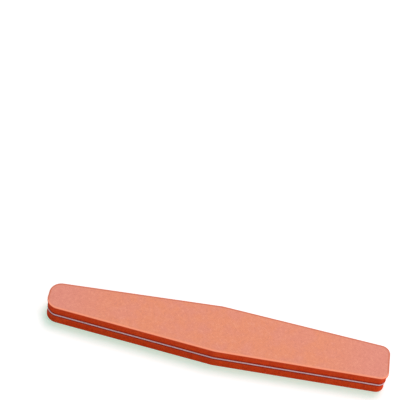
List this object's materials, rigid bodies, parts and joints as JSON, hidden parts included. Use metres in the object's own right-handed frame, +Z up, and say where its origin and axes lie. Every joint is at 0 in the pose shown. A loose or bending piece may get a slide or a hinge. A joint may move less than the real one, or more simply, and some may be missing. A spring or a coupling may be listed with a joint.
{
  "type": "nail file",
  "caption": "Flat double-sided foam nail file: an elongated hexagon with a rounder end and a squarer end, foam pads on a thin plastic core and an abrasive coat on each face, for shaping and smoothing nails.",
  "frame": {"origin": "middle of the lower abrasive face, which is the bottom centre of the bounding box", "axes": "+X along the file towards its wider, squarer end, +Y across its width, +Z up through its thickness"},
  "size_m": [0.178, 0.0286, 0.0127],
  "materials": {
    "core_plastic": "pale lavender-grey polystyrene sheet, satin, with die-cut edges",
    "adhesive": "thin translucent yellowish adhesive film",
    "foam": "saturated orange fine-celled foam, matt, cut on its sides",
    "backing_sheet": "peach-orange abrasive backing sheet, matt",
    "grit": "salmon-orange abrasive grain in resin, matt with fine speckle"
  },
  "bodies": {
    "root": {"core_board": "core_plastic", "upper_core_adhesive": "adhesive", "upper_foam_pad": "foam", "upper_sheet_adhesive": "adhesive", "upper_abrasive_backing": "backing_sheet", "upper_grit_coat": "grit", "lower_core_adhesive": "adhesive", "lower_foam_pad": "foam", "lower_sheet_adhesive": "adhesive", "lower_abrasive_backing": "backing_sheet", "lower_grit_coat": "grit"}
  },
  "joints": []
}
